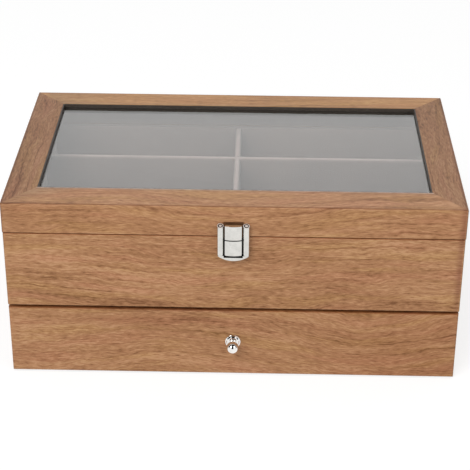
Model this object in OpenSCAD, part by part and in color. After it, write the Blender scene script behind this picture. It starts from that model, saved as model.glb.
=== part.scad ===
// Eyeglasses storage box: a mitred, veneered case with a glazed lid over six lined cells,
// and a drawer with six more cells below.
// Millimetres, +Z up, the front towards -Y. The origin is the centre of the footprint,
// on the surface that the box stands on.

/* [Case] */
// Width across the front
case_w = 330; // [300:1:380]
// Depth from the front face to the back face
case_d = 200; // [190:1:240]
// Height from the table to the top of the lid
total_h = 141.5; // [137:0.5:170]
// Thickness of the four case walls
wall_t = 12; // [11:0.5:14]
// Radius on the upright corners
corner_r = 1.6; // [0.8:0.1:2.4]
// Radius on the veneered edges
arris_r = 0.7; // [0.3:0.1:1]
// Thickness of the felt sheet underneath
felt_t = 1; // [0.8:0.1:1.2]
// Set-back of the felt from the edges of the case
felt_margin = 2; // [1:0.5:6]
// Thickness of the base panel
base_t = 6; // [4:0.5:8]
// Thickness of the shelf between the cells and the drawer
shelf_t = 5; // [4:0.5:6]
// Wood below the shelf's groove in the front panel
shelf_lip = 3; // [2.5:0.5:5]
// Depth of the grooves that hold the shelf
groove_depth = 5; // [3:0.5:6]

/* [Lid] */
// Height of the lid's sides
lid_h = 23.6; // [21:0.2:30]
// Seam between the lid and the case
lid_gap = 0.6; // [0.3:0.05:0.8]
// How far the lid stands past the case on each side
lid_overhang = 0.3; // [0.1:0.05:0.35]
// Width of the lid's back and side rails, seen from above
rail_w = 23; // [20:0.2:28]
// Width of the lid's front rail, seen from above
front_rail_w = 26.6; // [20:0.2:32]
// Thickness of the lid's sides below the glass
skirt_t = 12; // [11:0.5:14]
// Depth of the glass below the top of the rails
reveal_h = 3; // [2.6:0.2:8]
// Radius on the top outer edge of the lid
lid_arris_r = 1; // [0.5:0.1:2]
// Radius on the rails' edge beside the banding
window_arris_r = 0.3; // [0.2:0.1:1]
// Thickness of the black banding round the window
edging_t = 0.8; // [0.5:0.1:1.2]
// Radius of the banding's inner corners
edging_corner_r = 2; // [1:0.1:4]
// Thickness of the glass
glass_t = 2.5; // [2:0.1:3.5]
// Height of the beads that hold the glass from below
bead_h = 4; // [3:0.5:8]
// Angle that the lid opens to
lid_open = 95; // [85:1:110]

/* [Cells] */
// Thickness of the lined boards on the walls
lining_t = 2.5; // [1.5:0.5:4]
// Thickness of the lining on the floor
floor_lining_t = 2.2; // [1:0.2:4]
// Drop from the rim to the top of the linings
lining_drop = 0.8; // [0.4:0.2:4]
// Thickness of the dividers
divider_t = 4.5; // [3:0.5:6]
// Drop from the rim to the top of the dividers
divider_drop = 0.4; // [0.2:0.2:10]

/* [Drawer] */
// Height of the drawer front
drawer_front_h = 54.5; // [45:0.1:60]
// Thickness of the drawer front
drawer_front_t = 12; // [10:0.5:16]
// Gap above the drawer front
drawer_gap = 2.2; // [0.8:0.1:3]
// Clearance of the drawer front above the table
ground_gap = 1.2; // [1:0.1:3]
// Set-back of the drawer front from the sides of the case
front_inset = 0.3; // [0:0.1:1]
// Thickness of the drawer box's walls
drawer_wall_t = 6; // [5:0.5:8]
// Thickness of the drawer's bottom panel
drawer_bottom_t = 3; // [2:0.5:5]
// Wood below the bottom panel's groove
bottom_lip = 3; // [2:0.5:5]
// Depth of the groove for the bottom panel
bottom_groove = 3; // [2:0.5:4]
// Drop from the drawer front's top to the box walls' top
drawer_wall_drop = 0.5; // [0:0.1:3]
// Thickness of the drawer's linings
drawer_lining_t = 1.5; // [1:0.5:3]
// Thickness of the drawer's dividers
drawer_divider_t = 4; // [3:0.5:6]
// Drop from the drawer walls' top to the dividers' top
drawer_divider_drop = 2; // [1:0.5:8]

/* [Hinges] */
// Length of each hinge
hinge_len = 30; // [26:1:40]
// Distance from the side of the case to the middle of a hinge
hinge_inset = 60; // [40:1:80]
// Thickness of the leaves
leaf_t = 1.2; // [1:0.1:1.6]
// Depth of a leaf in the wood
leaf_depth = 8; // [7:0.5:9]
// Radius of the knuckles
knuckle_r = 2.2; // [2:0.1:2.8]
// Length of the middle knuckle
mid_knuckle = 12; // [8:1:16]
// Radius of the pin
pin_r = 1.2; // [0.8:0.1:1.3]
// Length that the pin shows past each end
pin_show = 0.5; // [0.2:0.1:1]
// Reach of the stop wings from the pin's centre
wing_reach = 8; // [6:0.5:11]
// Spacing of a leaf's two screws
screw_pitch = 20; // [16:1:22]

/* [Latch] */
// Height of the side bars above the rim
latch_rise = 11.2; // [9:0.1:14]
// Drop of the bars' sloped tops from back to front
bar_slope = 1.5; // [0.5:0.1:3]
// Height of the lip that joins the side bars below
lip_h = 2.5; // [1.6:0.1:6]
// Radius of the swept lower end
latch_sweep_r = 18; // [15:0.5:30]
// Thickness of the back plate
plate_t = 0.9; // [0.7:0.1:1.2]
// Diameter of the rolled side bars
bar_d = 4.7; // [3.6:0.1:5.4]
// Thickness of the rolled sheet
roll_t = 0.6; // [0.5:0.1:1]
// Gap between the outer and inner turns of a roll
roll_gap = 0.7; // [0.4:0.1:0.9]
// Width of the catch plate and the button
pad_w = 12; // [10:0.2:13]
// Height of the catch plate above the rim
catch_rise = 10.7; // [8:0.1:12.4]
// Thickness of the flange behind the catch plate
flange_t = 0.6; // [0.4:0.1:0.9]
// Height of the flange above the catch plate
flange_rise = 1.4; // [0.6:0.2:5]
// Reach of the catch plate below the rim
catch_drop = 0.2; // [0.1:0.1:3]
// Height of the button
button_h = 11.8; // [10.6:0.1:14]
// Gap beside and above the button
pad_gap = 0.8; // [0.6:0.1:1.2]
// Gap between the button and the lip
lip_gap = 1.5; // [0.6:0.1:1.8]
// Crown of the catch plate and the button ahead of the case front
pad_crown = 5.4; // [4.6:0.1:6.2]
// How far the catch plate and the button bow
pad_bow = 1; // [0.5:0.1:1.2]
// Travel of the button
button_travel = 1.4; // [1:0.1:1.4]
// Diameter of the fixing pegs
peg_d = 2; // [1.5:0.1:2.4]
// Length of the fixing pegs in the wood
peg_len = 6; // [4:0.5:8]
// Coils of the button's spring
spring_coils = 5; // [4:1:7]
// Diameter of the spring wire
spring_wire = 0.5; // [0.4:0.05:0.6]

/* [Knob] */
// Diameter of the rosette
rosette_d = 11.2; // [9:0.2:16]
// Height of the rosette's raised middle above its rim
rosette_h = 0.9; // [0.5:0.1:1.4]
// Width of the rosette's flat rim
rosette_rim_w = 0.7; // [0.4:0.1:1]
// Slope from the rim up to the raised middle, in degrees
rosette_slope = 50; // [40:5:70]
// Diameter of the neck
neck_d = 4.8; // [4:0.1:6]
// Diameter of the ball
ball_d = 9; // [7:0.1:14]
// Distance from the drawer front to the ball's centre
ball_reach = 8.2; // [6:0.2:12]
// Height of the knob above the middle of the drawer front
knob_rise = 0.8; // [0:0.1:4]

/* [Fits] */
// Clearance of a seated piece
seat_fit = 0.1; // [0.05:0.01:0.2]
// Running clearance of a pin, peg or screw in its hole
run_fit = 0.05; // [0.03:0.01:0.09]
// Clearance of parts that swing or slide past each other
swing_gap = 0.3; // [0.2:0.05:0.4]
// Clearance of the drawer box on each side
drawer_side_gap = 0.8; // [0.4:0.1:1.5]
// Clearance under the drawer box
drawer_lift = 0.3; // [0.2:0.1:0.6]
// Clearance behind the drawer box
drawer_back_gap = 1.5; // [0.5:0.1:4]
// Clearance behind the drawer front
front_clear = 0.5; // [0.2:0.1:1]

/* [Hidden] */
$fn = 64;

// Length by which a cutting shape passes through what it cuts
cut_over = 1;

// Colours
walnut = "#aa7d55";
walnut_dark = "#94683f";
velvet = "#b3a49e";
metal = "#d8d6d2";
black = "#2a2624";

// Turns that carry a piece made for the front round to each side of the box
to_front = 0;
to_right = 90;
to_back = 180;
to_left = -90;

// Heights, from the table up
base_top = felt_t + base_t;
drawer_front_top = ground_gap + drawer_front_h;
front_low = drawer_front_top + drawer_gap;
shelf_z = front_low + shelf_lip;
shelf_top = shelf_z + shelf_t;
floor_z = shelf_top + floor_lining_t;
rim_z = total_h - lid_h - lid_gap;
lid_z = rim_z + lid_gap;
lining_top = rim_z - lining_drop;
divider_top = rim_z - divider_drop;

// Case, inside the walls and inside the linings
in_w = case_w - 2 * wall_t;
in_d = case_d - 2 * wall_t;
cells_w = in_w - 2 * lining_t;
cells_d = in_d - 2 * lining_t;
rows = 3;
row_y = [for (k = [1, 2]) k * (cells_d + divider_t) / rows - (cells_d + divider_t) / 2];

// Lid
lid_w = case_w + 2 * lid_overhang;
lid_d = case_d + 2 * lid_overhang;
glass_top = total_h - reveal_h;
glass_low = glass_top - glass_t;
window_in = rail_w + edging_t;
front_window_in = front_rail_w + edging_t;
window_mid_y = (front_rail_w - rail_w) / 2;

// Drawer box
front_y = -case_d / 2;
bay_front_y = front_y + drawer_front_t + front_clear;
drawer_w = in_w - 2 * drawer_side_gap;
drawer_y0 = front_y + drawer_front_t;
drawer_y1 = in_d / 2 - drawer_back_gap;
drawer_len = drawer_y1 - drawer_y0;
drawer_mid_y = (drawer_y0 + drawer_y1) / 2;
drawer_low = base_top + drawer_lift;
drawer_high = drawer_front_top - drawer_wall_drop;
drawer_in_w = drawer_w - 2 * drawer_wall_t;
drawer_in_d = drawer_len - 2 * drawer_wall_t;
bottom_z = drawer_low + bottom_lip;
drawer_floor_low = bottom_z + drawer_bottom_t;
drawer_floor_z = drawer_floor_low + drawer_lining_t;
drawer_lining_top = drawer_high - drawer_wall_drop;
drawer_cells_w = drawer_in_w - 2 * drawer_lining_t;
drawer_cells_d = drawer_in_d - 2 * drawer_lining_t;
drawer_row_y = [
  for (k = [1, 2])
    drawer_mid_y + k * (drawer_cells_d + drawer_divider_t) / rows - (drawer_cells_d + drawer_divider_t) / 2
];

// Hinges: the axis lies behind the lid, level with the middle of the seam
leaf_split = 0.05;
hinge_x = case_w / 2 - hinge_inset;
hinge_y = lid_d / 2 + knuckle_r + swing_gap / 2;
hinge_z = rim_z + lid_gap / 2;
leaf_reach = hinge_y - case_d / 2 + leaf_depth;
knuckle_gap = 0.15;
end_knuckles = [[-hinge_len / 2, -mid_knuckle / 2], [mid_knuckle / 2, hinge_len / 2]];
mid_knuckles = [[knuckle_gap - mid_knuckle / 2, mid_knuckle / 2 - knuckle_gap]];
stop_slack = 1;
wing_angle = (lid_open + stop_slack) / 2;
screw_r = 1.1;
screw_len = 9;
screw_head_r = 2;
screw_head_h = 0.9;
screw_y = hinge_y - leaf_reach + leaf_depth / 2;

// Latch, from the rim down
catch_low = rim_z - catch_drop;
catch_high = rim_z + catch_rise;
button_high = catch_low - pad_gap;
button_low = button_high - button_h;
pocket_low = button_low - lip_gap;
latch_low = pocket_low - lip_h;
bar_high = rim_z + latch_rise;
bar_h = bar_high - latch_low;
pocket_w = pad_w + 2 * pad_gap;
latch_w = pocket_w + 2 * (bar_d + seat_fit);
plate_front = front_y - plate_t;
plate_top = rim_z - lid_gap;
bar_embed = plate_t / 3;
bar_y = plate_front + bar_embed - bar_d / 2;
bar_x = latch_w / 2 - bar_d / 2;
bar_floor = latch_low + 2 * bar_d;
roll_d = bar_d - 2 * roll_t;
core_d = roll_d - 2 * roll_gap;
lip_share = 1.1;
lip_front = front_y - lip_share * bar_d;
crown_y = front_y - pad_crown;
bow_r = (pow(pad_w / 2, 2) + pow(pad_bow, 2)) / (2 * pad_bow);
lid_face_y = -lid_d / 2;
flange_w = pocket_w + 2 * swing_gap;
flange_high = catch_high + flange_rise;
tongue_t = 0.8;
tongue_back = plate_front - swing_gap / 2;
tongue_front = tongue_back - tongue_t;
tongue_w = 8;
tongue_low = button_low + button_h / 2 + swing_gap;
button_back = tongue_front - button_travel - swing_gap / 2;
tooth_w = 4;
tooth_h = 1.8;
tooth_z = tongue_low + (button_high - tongue_low) / 2;
tooth_gap = 0.15;
stem_d = 3;
stem_z = tongue_low - stem_d / 2 - 2 * swing_gap;
bolt_t = 1.2;
bolt_w = 6;
bolt_front = front_y + seat_fit;
bolt_back = bolt_front + bolt_t;
bolt_low = stem_z - stem_d / 2;
bolt_high = tooth_z + tooth_h / 2 + swing_gap;
mortise_room = 1;
mortise_w = bolt_w + 2 * mortise_room;
mortise_floor_t = 3;
mortise_end = front_y + wall_t - mortise_floor_t;
mortise_low = bolt_low - mortise_room;
mortise_high = bolt_high + mortise_room;
spring_z = (bolt_low + bolt_high) / 2;
spring_d = 4.6;
spring_core = spring_d - 2 * spring_wire - 2 * swing_gap;
spring_core_len = 2;
catch_peg_x = pad_w / 4;
catch_peg_z = (lid_z + catch_high) / 2;
base_peg_x = bar_x;
base_peg_z = (latch_low + plate_top) / 2 + bar_d / 2;

// Knob and its screw
knob_z = ground_gap + drawer_front_h / 2 + knob_rise;
rosette_rim = 0.6;
rosette_r = rosette_d / 2;
slope_r = rosette_r - rosette_rim_w;
middle_r = slope_r - rosette_h / tan(rosette_slope);
middle_h = rosette_rim + rosette_h;
tip_flat = 0.03;
knob_screw_r = 1.5;
knob_screw_head_r = 3.4;
knob_screw_head_h = 2.2;
bite_stop = 1;
bore_spare = 0.5;
knob_screw_bite = ball_reach - bite_stop;
knob_bore = knob_screw_bite + bore_spare;
knob_seat_y = drawer_y0 + drawer_wall_t - knob_screw_head_h - seat_fit;

// What a rounded edge takes off a square corner at the origin, with the wood up and to the right.
module corner_cut(r) {
  difference() {
    translate([-cut_over, -cut_over]) square(r + cut_over);
    translate([r, r]) circle(r);
  }
}

// A rectangle centred on the origin with four rounded corners.
module rounded_rect(w, d, r) {
  difference() {
    square([w, d], center = true);
    for (sx = [0, 1], sy = [0, 1])
      mirror([sx, 0]) mirror([0, sy]) translate([-w / 2, -d / 2]) corner_cut(r);
  }
}

// Section of a veneered panel, inward and up, with its two outer edges eased.
module panel_section(t, h) {
  difference() {
    square([t, h]);
    corner_cut(arris_r);
    translate([0, h]) mirror([0, 1]) corner_cut(arris_r);
  }
}

// Section of a lid rail: the side of the lid, and the flange that frames the window.
module rail_section(wide) {
  difference() {
    union() {
      square([skirt_t, lid_h]);
      translate([0, lid_h - reveal_h]) square([wide, reveal_h]);
    }
    corner_cut(arris_r);
    translate([0, lid_h]) mirror([0, 1]) corner_cut(lid_arris_r);
    translate([wide, lid_h]) rotate(180) corner_cut(window_arris_r);
  }
}

// Length of one side of a w by d frame, and its distance from the middle.
function run_of(w, d, turn) = abs(turn) == 90 ? d : w;
function reach_of(w, d, turn) = (abs(turn) == 90 ? w : d) / 2;

// Depth of one side of a frame whose front is deeper than the rest.
function deep_of(deep, front_deep, turn) = turn == to_front ? front_deep : deep;

// Outline of one side of a w by d frame, made for the front, with both ends mitred.
module mitred_outline(w, d, deep, front_deep, turn) {
  half = run_of(w, d, turn) / 2;
  reach = reach_of(w, d, turn);
  own = deep_of(deep, front_deep, turn);
  left = turn == to_right ? front_deep : deep;
  right = turn == to_left ? front_deep : deep;
  polygon([[-half, -reach], [half, -reach], [half - right, own - reach], [left - half, own - reach]]);
}

// A section, inward and up, run along one side of a w by d frame with both ends mitred.
// The turn carries it from the front to its own side.
module mitred_run(w, d, deep, front_deep, low, high, turn) {
  run = run_of(w, d, turn);
  reach = reach_of(w, d, turn);
  rotate([0, 0, turn])
    intersection() {
      translate([-run / 2, -reach, low])
        rotate([90, 0, 90])
          linear_extrude(run) children();
      translate([0, 0, low])
        linear_extrude(high - low)
          intersection() {
            rounded_rect(run, 2 * reach, corner_r);
            mitred_outline(w, d, deep, front_deep, turn);
          }
    }
}

// A block given by its two ends along each axis.
module block(x, y, z) {
  translate([x[0], y[0], z[0]])
    cube([x[1] - x[0], y[1] - y[0], z[1] - z[0]]);
}

// The shelf, or with a clearance the room that it takes out of the walls.
module shelf_panel(fit) {
  w = in_w + 2 * groove_depth - 2 * seat_fit + 2 * fit;
  d = in_d + 2 * groove_depth - 2 * seat_fit + 2 * fit;
  translate([0, 0, shelf_z])
    linear_extrude(shelf_t)
      square([w, d], center = true);
}

// One wall of the case, from a given height up to the rim, with the shelf's groove.
module case_wall(low, turn) {
  difference() {
    mitred_run(case_w, case_d, wall_t, wall_t, low, rim_z, turn) panel_section(wall_t, rim_z - low);
    shelf_panel(seat_fit);
  }
}

// Room for the drawer front, cut from the lower front of a side.
module drawer_front_notch() {
  block(
    [-case_w, case_w],
    [front_y - cut_over, bay_front_y],
    [felt_t - cut_over, front_low]
  );
}

// Walls of the case
module left_side() {
  color(walnut)
    difference() {
      case_wall(felt_t, to_left);
      drawer_front_notch();
    }
}

module right_side() {
  color(walnut)
    difference() {
      case_wall(felt_t, to_right);
      drawer_front_notch();
    }
}

module back_panel() {
  color(walnut)
    difference() {
      case_wall(felt_t, to_back);
      for (x = [-hinge_x, hinge_x])
        case_leaf_frame(x) {
          leaf_mortise();
          leaf_screw_places() screw_room();
        }
    }
}

module front_panel() {
  color(walnut)
    difference() {
      case_wall(front_low, to_front);
      block(
        [-mortise_w / 2, mortise_w / 2],
        [front_y - cut_over, mortise_end],
        [mortise_low, mortise_high]
      );
      for (x = [-base_peg_x, base_peg_x])
        translate([x, front_y, base_peg_z]) peg_hole();
    }
}

module shelf() {
  color(walnut_dark) shelf_panel(0);
}

// The base fills the space between the sides and the back, level with their lower edges.
module base_panel() {
  color(walnut_dark)
    block([-in_w / 2, in_w / 2], [bay_front_y, in_d / 2], [felt_t, base_top]);
}

module base_felt() {
  color(black)
    block(
      [felt_margin - case_w / 2, case_w / 2 - felt_margin],
      [bay_front_y + felt_margin, case_d / 2 - felt_margin],
      [0, felt_t]
    );
}

// Linings and dividers, for the case and for the drawer alike.
// A floor lies inside walls that are w by d, round the centre line y.
module floor_sheet(w, d, y, low, high) {
  translate([0, y, low])
    linear_extrude(high - low)
      square([w - 2 * seat_fit, d - 2 * seat_fit], center = true);
}

// A lined board on the front wall, turned to the wall that it belongs to.
// Boards on the front and back run right across, and those on the sides fit between them.
module wall_board(w, d, y, t, low, high, turn) {
  sideways = abs(turn) == 90;
  run = sideways ? d - 2 * t : w;
  reach = (sideways ? w : d) / 2;
  translate([0, y, 0])
    rotate([0, 0, turn])
      block([seat_fit - run / 2, run / 2 - seat_fit], [-reach, t - reach], [low, high]);
}

// Section of a divider: a board with a rounded top.
module divider_section(t, h) {
  translate([-t / 2, 0]) square([t, h - t / 2]);
  translate([0, h - t / 2]) circle(t / 2);
}

// A divider across the width, slotted from below to drop over the cross divider.
module long_divider(w, y, t, low, high) {
  difference() {
    translate([seat_fit - w / 2, y, low])
      rotate([90, 0, 90])
        linear_extrude(w - 2 * seat_fit) divider_section(t, high - low);
    block(
      [-t / 2 - seat_fit, t / 2 + seat_fit],
      [y - t, y + t],
      [low - cut_over, (low + high) / 2]
    );
  }
}

// The divider from front to back, slotted from above under each long divider.
module short_divider(d, y, t, low, high, crossings) {
  difference() {
    translate([0, y + d / 2 - seat_fit, low])
      rotate([90, 0, 0])
        linear_extrude(d - 2 * seat_fit) divider_section(t, high - low);
    for (at = crossings)
      block(
        [-t, t],
        [at - t / 2 - seat_fit, at + t / 2 + seat_fit],
        [(low + high) / 2 - seat_fit, high + cut_over]
      );
  }
}

// Linings and dividers of the upper cells
module floor_lining() {
  color(velvet) floor_sheet(in_w, in_d, 0, shelf_top, floor_z);
}

module case_lining(turn) {
  color(velvet) wall_board(in_w, in_d, 0, lining_t, floor_z, lining_top, turn);
}

module front_lining() {
  case_lining(to_front);
}

module back_lining() {
  case_lining(to_back);
}

module left_lining() {
  case_lining(to_left);
}

module right_lining() {
  case_lining(to_right);
}

module front_divider() {
  color(velvet) long_divider(cells_w, row_y[0], divider_t, floor_z, divider_top);
}

module rear_divider() {
  color(velvet) long_divider(cells_w, row_y[1], divider_t, floor_z, divider_top);
}

module cross_divider() {
  color(velvet) short_divider(cells_d, 0, divider_t, floor_z, divider_top, row_y);
}

// Hinges. Each leaf is made above an axis that lies along X at the origin: the lid's leaf is
// used as it stands, and the case's leaf is its mirror image below.
module lid_leaf_frame(x) {
  translate([x, hinge_y, hinge_z]) children();
}

module case_leaf_frame(x) {
  translate([x, hinge_y, hinge_z]) mirror([0, 0, 1]) children();
}

module along_hinge(from, to, r) {
  translate([from, 0, 0]) rotate([0, 90, 0]) cylinder(r = r, h = to - from);
}

// Section of a leaf, back and up: the plate in the wood, the knuckle bored for the pin, and the
// wing that stands out behind and meets the other wing when the lid is fully open.
module leaf_section() {
  difference() {
    union() {
      translate([-leaf_reach, leaf_split]) square([leaf_reach, leaf_t]);
      circle(knuckle_r);
      rotate(wing_angle) square([wing_reach, leaf_t]);
    }
    circle(pin_r + run_fit);
  }
}

// A leaf, cut away where the other leaf's knuckles turn.
module hinge_leaf(other) {
  difference() {
    translate([-hinge_len / 2, 0, 0])
      rotate([90, 0, 90])
        linear_extrude(hinge_len) leaf_section();
    for (k = other)
      along_hinge(k[0] - knuckle_gap, k[1] + knuckle_gap, knuckle_r + swing_gap);
    leaf_screw_places() screw_room();
  }
}

// The bed that a leaf takes in the edge of the wood.
module leaf_mortise() {
  block(
    [-hinge_len / 2 - seat_fit, hinge_len / 2 + seat_fit],
    [-leaf_reach - seat_fit, 0],
    [-cut_over, leaf_split + leaf_t]
  );
}

module leaf_screw_places() {
  for (x = [-screw_pitch / 2, screw_pitch / 2])
    translate([x, screw_y - hinge_y, leaf_split]) children();
}

// A countersunk screw with its head level with the leaf, pointing up.
module leaf_screw() {
  cylinder(r1 = screw_head_r, r2 = screw_r, h = screw_head_h);
  cylinder(r = screw_r, h = screw_len);
}

// The room that such a screw takes.
module screw_room() {
  cylinder(r1 = screw_head_r + run_fit, r2 = screw_r + run_fit, h = screw_head_h);
  translate([0, 0, -cut_over]) cylinder(r = screw_r + run_fit, h = screw_len + 2 * cut_over);
}

module left_hinge_case_leaf() {
  color(metal) case_leaf_frame(-hinge_x) hinge_leaf(mid_knuckles);
}

module right_hinge_case_leaf() {
  color(metal) case_leaf_frame(hinge_x) hinge_leaf(mid_knuckles);
}

module left_hinge_lid_leaf() {
  color(metal) lid_leaf_frame(-hinge_x) hinge_leaf(end_knuckles);
}

module right_hinge_lid_leaf() {
  color(metal) lid_leaf_frame(hinge_x) hinge_leaf(end_knuckles);
}

module hinge_pins() {
  color(metal)
    for (x = [-hinge_x, hinge_x])
      lid_leaf_frame(x)
        along_hinge(-hinge_len / 2 - pin_show, hinge_len / 2 + pin_show, pin_r);
}

module case_hinge_screws() {
  color(metal)
    for (x = [-hinge_x, hinge_x])
      case_leaf_frame(x) leaf_screw_places() leaf_screw();
}

module lid_hinge_screws() {
  color(metal)
    for (x = [-hinge_x, hinge_x])
      lid_leaf_frame(x) leaf_screw_places() leaf_screw();
}

// Latch. A peg points into the wood from a plate, and its hole is a running fit larger.
module peg(x, y, z) {
  translate([x, y, z]) rotate([-90, 0, 0]) cylinder(d = peg_d, h = peg_len);
}

module peg_hole() {
  translate([0, -cut_over, 0])
    rotate([-90, 0, 0])
      cylinder(r = peg_d / 2 + run_fit, h = peg_len + 2 * cut_over);
}

// An outline in X and Z, given thickness from one depth forward to another.
module upright_plate(back, front) {
  translate([0, back, 0]) rotate([90, 0, 0]) linear_extrude(back - front) children();
}

// What the swept lower end takes off the latch.
module latch_waste() {
  upright_plate(front_y + cut_over, front_y - 2 * bar_d)
    difference() {
      translate([-latch_w / 2 - cut_over, latch_low - cut_over])
        square([latch_w + 2 * cut_over, latch_sweep_r + cut_over]);
      translate([0, latch_low + latch_sweep_r]) circle(latch_sweep_r);
    }
}

// What the sloped cut takes off the tops of the bars.
module bar_waste() {
  translate([-latch_w, bar_y + bar_d / 2, bar_high])
    rotate([atan2(bar_slope, bar_d), 0, 0])
      translate([0, -2 * bar_d, 0])
        cube([2 * latch_w, 3 * bar_d, 2 * bar_d]);
}

// The back plate, the two rolled bars that flank the catch, and the lip that joins them below.
module latch_base() {
  color(metal)
    difference() {
      union() {
        difference() {
          union() {
            upright_plate(front_y, plate_front)
              translate([-latch_w / 2, latch_low]) square([latch_w, plate_top - latch_low]);
            upright_plate(front_y, lip_front)
              difference() {
                translate([-latch_w / 2, latch_low]) square([latch_w, button_low - latch_low]);
                translate([-pocket_w / 2, pocket_low]) square([pocket_w, button_h]);
              }
            for (x = [-bar_x, bar_x])
              translate([x, bar_y, latch_low]) cylinder(d = bar_d, h = bar_h);
          }
          latch_waste();
          bar_waste();
          for (x = [-bar_x, bar_x])
            translate([x, bar_y, bar_floor])
              difference() {
                cylinder(d = roll_d, h = bar_h);
                translate([0, 0, -cut_over]) cylinder(d = core_d, h = bar_h + 2 * cut_over);
              }
        }
        for (x = [-base_peg_x, base_peg_x])
          peg(x, front_y, base_peg_z);
      }
      translate([0, front_y + cut_over, stem_z])
        rotate([90, 0, 0])
          cylinder(r = stem_d / 2 + run_fit, h = plate_t + 2 * cut_over);
      block(
        [-tooth_w / 2 - swing_gap, tooth_w / 2 + swing_gap],
        [plate_front - cut_over, front_y + cut_over],
        [tooth_z - tooth_h / 2 - swing_gap, tooth_z + tooth_h / 2 + swing_gap]
      );
    }
}

// A plate that bows forward between two heights, cut off at a given depth behind.
module bowed_pad(low, high, back) {
  intersection() {
    block([-pad_w / 2, pad_w / 2], [crown_y - cut_over, back], [low, high]);
    translate([0, crown_y + bow_r, low - cut_over]) cylinder(r = bow_r, h = high - low + 2 * cut_over);
  }
}

// The catch sits on the lid, on a thin flange. Its tongue hangs behind the button, with a window
// for the tooth.
module latch_catch() {
  color(metal)
    difference() {
      union() {
        bowed_pad(lid_z, catch_high, lid_face_y);
        block([-flange_w / 2, flange_w / 2], [lid_face_y - flange_t, lid_face_y], [lid_z, flange_high]);
        bowed_pad(catch_low, lid_z, tongue_back);
        block([-tongue_w / 2, tongue_w / 2], [tongue_front, tongue_back], [tongue_low, lid_z]);
        for (x = [-catch_peg_x, catch_peg_x])
          peg(x, lid_face_y, catch_peg_z);
      }
      block(
        [-tooth_w / 2 - swing_gap, tooth_w / 2 + swing_gap],
        [tongue_front - swing_gap, tongue_back + cut_over],
        [tooth_z - tooth_h / 2 - swing_gap, tooth_z + tooth_h / 2 + swing_gap]
      );
    }
}

// The button, its stem, and the bolt behind the plate whose tooth holds the tongue.
module latch_button() {
  color(metal) {
    bowed_pad(button_low, button_high, button_back);
    translate([0, bolt_back, stem_z])
      rotate([90, 0, 0])
        cylinder(d = stem_d, h = bolt_back - button_back);
    block([-bolt_w / 2, bolt_w / 2], [bolt_front, bolt_back], [bolt_low, bolt_high]);
    block(
      [-tooth_w / 2, tooth_w / 2],
      [tongue_back + tooth_gap, bolt_back],
      [tooth_z - tooth_h / 2, tooth_z + tooth_h / 2]
    );
    translate([0, bolt_back - bolt_t / 2, spring_z])
      rotate([-90, 0, 0])
        cylinder(d = spring_core, h = spring_core_len + bolt_t / 2);
  }
}

// The spring between the bolt and the bottom of its mortise: one helical tube.
module latch_spring() {
  rings_per_coil = 8;
  sides = 6;
  length = mortise_end - bolt_back - spring_wire - 2 * run_fit;
  coil_r = (spring_d - spring_wire) / 2;
  last = spring_coils * rings_per_coil;
  pitch = length / spring_coils;
  climb = atan2(pitch, 2 * PI * coil_r);
  points = [
    for (i = [0:last], k = [0:sides - 1])
      let (
        turn = 360 * i / rings_per_coil,
        side = 360 * k / sides,
        out = coil_r + spring_wire / 2 * cos(side),
        up = spring_wire / 2 * sin(side)
      )
        [
          out * cos(turn) + up * sin(climb) * sin(turn),
          out * sin(turn) - up * sin(climb) * cos(turn),
          length * i / last + up * cos(climb)
        ]
  ];
  tube = [
    for (i = [0:last - 1], k = [0:sides - 1], half = [0, 1])
      let (
        a = i * sides + k,
        b = i * sides + (k + 1) % sides
      )
        half == 0 ? [a, a + sides, b] : [b, a + sides, b + sides]
  ];
  ends = [
    for (k = [1:sides - 2], end = [0, 1])
      end == 0 ? [0, k, k + 1] : [last * sides, last * sides + k + 1, last * sides + k]
  ];
  color(metal)
    translate([0, bolt_back + spring_wire / 2 + run_fit, spring_z])
      rotate([-90, 0, 0])
        polyhedron(points = points, faces = concat(tube, ends));
}

// Lid
module lid_rail(turn) {
  mitred_run(lid_w, lid_d, rail_w, front_rail_w, lid_z, total_h, turn)
    rail_section(deep_of(rail_w, front_rail_w, turn));
}

module lid_front_rail() {
  color(walnut)
    difference() {
      lid_rail(to_front);
      for (x = [-catch_peg_x, catch_peg_x])
        translate([x, lid_face_y, catch_peg_z]) peg_hole();
    }
}

module lid_back_rail() {
  color(walnut)
    difference() {
      lid_rail(to_back);
      for (x = [-hinge_x, hinge_x])
        lid_leaf_frame(x) {
          leaf_mortise();
          leaf_screw_places() screw_room();
        }
    }
}

module lid_left_rail() {
  color(walnut) lid_rail(to_left);
}

module lid_right_rail() {
  color(walnut) lid_rail(to_right);
}

// One continuous band that lines the inner edges of the rails in black.
module window_edging() {
  w = lid_w - 2 * rail_w;
  d = lid_d - rail_w - front_rail_w;
  color(black)
    translate([0, window_mid_y, glass_top])
      linear_extrude(reveal_h - window_arris_r)
        difference() {
          square([w, d], center = true);
          rounded_rect(w - 2 * edging_t, d - 2 * edging_t, edging_corner_r);
        }
}

module lid_glass() {
  w = lid_w - 2 * skirt_t - 2 * seat_fit;
  d = lid_d - 2 * skirt_t - 2 * seat_fit;
  color("#c8d2d0", 0.35)
    translate([0, 0, glass_low])
      linear_extrude(glass_t)
        square([w, d], center = true);
}

// The beads hold the glass up against the rails, and end level with the banding.
module bead(turn) {
  color(black)
    translate([0, 0, glass_low - bead_h])
      rotate([0, 0, turn])
        linear_extrude(bead_h)
          mitred_outline(
            lid_w - 2 * skirt_t, lid_d - 2 * skirt_t,
            window_in - skirt_t, front_window_in - skirt_t, turn
          );
}

module front_bead() {
  bead(to_front);
}

module back_bead() {
  bead(to_back);
}

module left_bead() {
  bead(to_left);
}

module right_bead() {
  bead(to_right);
}

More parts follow.
